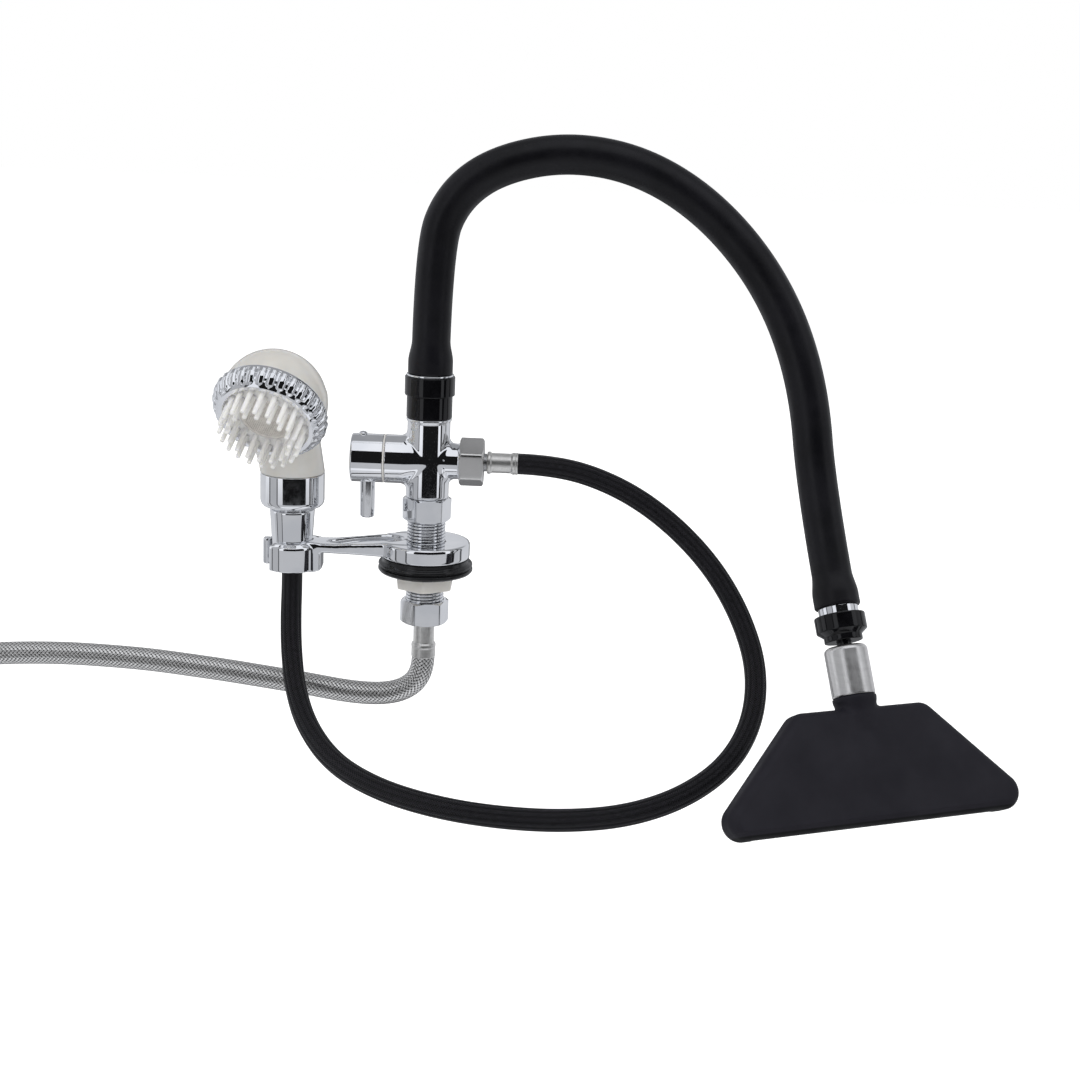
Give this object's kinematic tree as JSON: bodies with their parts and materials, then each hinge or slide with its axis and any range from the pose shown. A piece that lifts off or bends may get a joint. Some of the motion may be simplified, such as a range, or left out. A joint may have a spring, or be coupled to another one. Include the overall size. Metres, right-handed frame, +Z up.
{
  "type": "deck mounted pet bath sprayer set",
  "caption": "Deck mounted pet bath set: lever valve on a base plate, flexible arm with a fan nozzle, brush faced hand spray in a C shaped holder, and two braided hoses.",
  "frame": {"origin": "shank axis at the deck surface, which is the gasket's underside", "axes": "+Z up along the shank, +X towards the fan nozzle's side, +Y away from the user"},
  "size_m": [0.6982, 0.1934, 0.4711],
  "materials": {
    "chrome": "polished chrome plate",
    "nickel": "satin nickel",
    "plated_thread": "plated thread",
    "brass": "machined",
    "gasket_rubber": "moulded black rubber",
    "white_plastic": "moulded",
    "black_plastic": "gloss black",
    "sleeve_rubber": "matte black rubber",
    "gooseneck_steel": "steel",
    "brushed_cap": "brushed stainless",
    "fan_rubber": "matte charcoal rubber",
    "black_braid": "fine glossy black braid",
    "steel_braid": "stainless wire braid",
    "milky_plastic": "translucent milky white",
    "soft_white": "soft translucent white",
    "mesh_plate": "fine perforated warm grey"
  },
  "bodies": {
    "deck_unit": {"base_plate": "chrome", "deck_gasket": "gasket_rubber", "threaded_shank": "plated_thread", "union_nut": "chrome", "union_seal": "gasket_rubber", "valve_body": "chrome", "ball_seats": "white_plastic", "spindle_gland": "brass", "spindle_oring": "gasket_rubber", "hub_washer": "white_plastic", "swivel_clip": "gooseneck_steel", "swivel_oring": "gasket_rubber", "outlet_nut": "nickel", "outlet_seal": "gasket_rubber", "outlet_stem": "brass", "outlet_ferrule": "nickel", "handset_hose": "black_braid", "inlet_nut": "chrome", "inlet_seal": "gasket_rubber", "inlet_stem": "brass", "inlet_ferrule": "nickel", "supply_hose": "steel_braid", "supply_end_ferrule": "nickel", "supply_end_stem": "brass", "supply_end_seal": "gasket_rubber", "supply_end_nut": "chrome"},
    "back_nut": {"back_nut": "white_plastic"},
    "lever": {"lever_hub": "chrome", "lever_pin": "chrome", "hub_screw": "chrome", "valve_spindle": "brass", "diverter_ball": "brass"},
    "arm_base": {"arm_socket": "black_plastic", "arm_nipple": "brass", "arm_swivel_nut": "black_plastic", "arm_lip_ring": "chrome", "arm_sleeve_root": "sleeve_rubber", "arm_core_root": "gooseneck_steel"},
    "arm_arch": {"arm_sleeve_arch": "sleeve_rubber", "arm_core_arch": "gooseneck_steel"},
    "arm_tip": {"arm_sleeve_tip": "sleeve_rubber", "arm_core_tip": "gooseneck_steel", "arm_end_band": "chrome", "nozzle_collar": "black_plastic"},
    "nozzle_stud": {"ball_stud": "brass"},
    "nozzle": {"nozzle_cap": "brushed_cap", "ball_seal": "white_plastic", "fan_nozzle": "fan_rubber", "fan_strip": "fan_rubber"},
    "hose_end": {"hose_end_stem": "brass", "hose_end_ferrule": "nickel"},
    "handset": {"cone_nut": "chrome", "cone_seal": "gasket_rubber", "handset_cup": "chrome", "handset_body": "milky_plastic", "face_seal": "gasket_rubber", "brush_face": "soft_white", "spray_plate": "mesh_plate"},
    "handset_ring": {"knurled_ring": "chrome"}
  },
  "joints": [
    {"name": "back_nut_thread", "type": "slide", "parent": "deck_unit", "child": "back_nut", "axis": [0, 0, 1], "range_m": [-0.004, 0.002]},
    {"name": "valve_lever", "type": "hinge", "parent": "deck_unit", "child": "lever", "pos_m": [-0.0328, 0, 0.0623], "axis": [1, 0, 0], "range_deg": [-90, 90]},
    {"name": "arm_swivel", "type": "hinge", "parent": "deck_unit", "child": "arm_base", "pos_m": [0, 0, 0.0985], "axis": [0, 0, 1], "range_deg": [-110, 110]},
    {"name": "arm_flex_low", "type": "hinge", "parent": "arm_base", "child": "arm_arch", "pos_m": [0, 0, 0.14572], "axis": [0, 1, 0], "range_deg": [-20, 10]},
    {"name": "arm_flex_high", "type": "hinge", "parent": "arm_arch", "child": "arm_tip", "pos_m": [0.20255, -0.03955, 0.09055], "axis": [0, 1, 0], "range_deg": [-20, 20]},
    {"name": "nozzle_turn", "type": "hinge", "parent": "arm_tip", "child": "nozzle_stud", "pos_m": [0.22196, -0.08517, -0.01375], "axis": [0.1795, -0.4593, -0.87], "range_deg": [-100, 100]},
    {"name": "nozzle_tilt", "type": "hinge", "parent": "nozzle_stud", "child": "nozzle", "pos_m": [0.22196, -0.08517, -0.01375], "axis": [0.9274, 0.3741, -0.0061], "range_deg": [-12, 12]},
    {"name": "handset_lift", "type": "slide", "parent": "deck_unit", "child": "hose_end", "axis": [0, 0, 1], "range_m": [0, 0.1], "deforming": ["handset_hose"]},
    {"name": "handset_turn", "type": "hinge", "parent": "hose_end", "child": "handset", "pos_m": [-0.074, 0, 0.016], "axis": [0, 0, 1], "range_deg": [-160, 15]},
    {"name": "brush_ring_turn", "type": "hinge", "parent": "handset", "child": "handset_ring", "pos_m": [-0.0791, -0.035, 0.097], "axis": [-0.1831, -0.7806, -0.5976], "range_deg": [0, 60]}
  ]
}
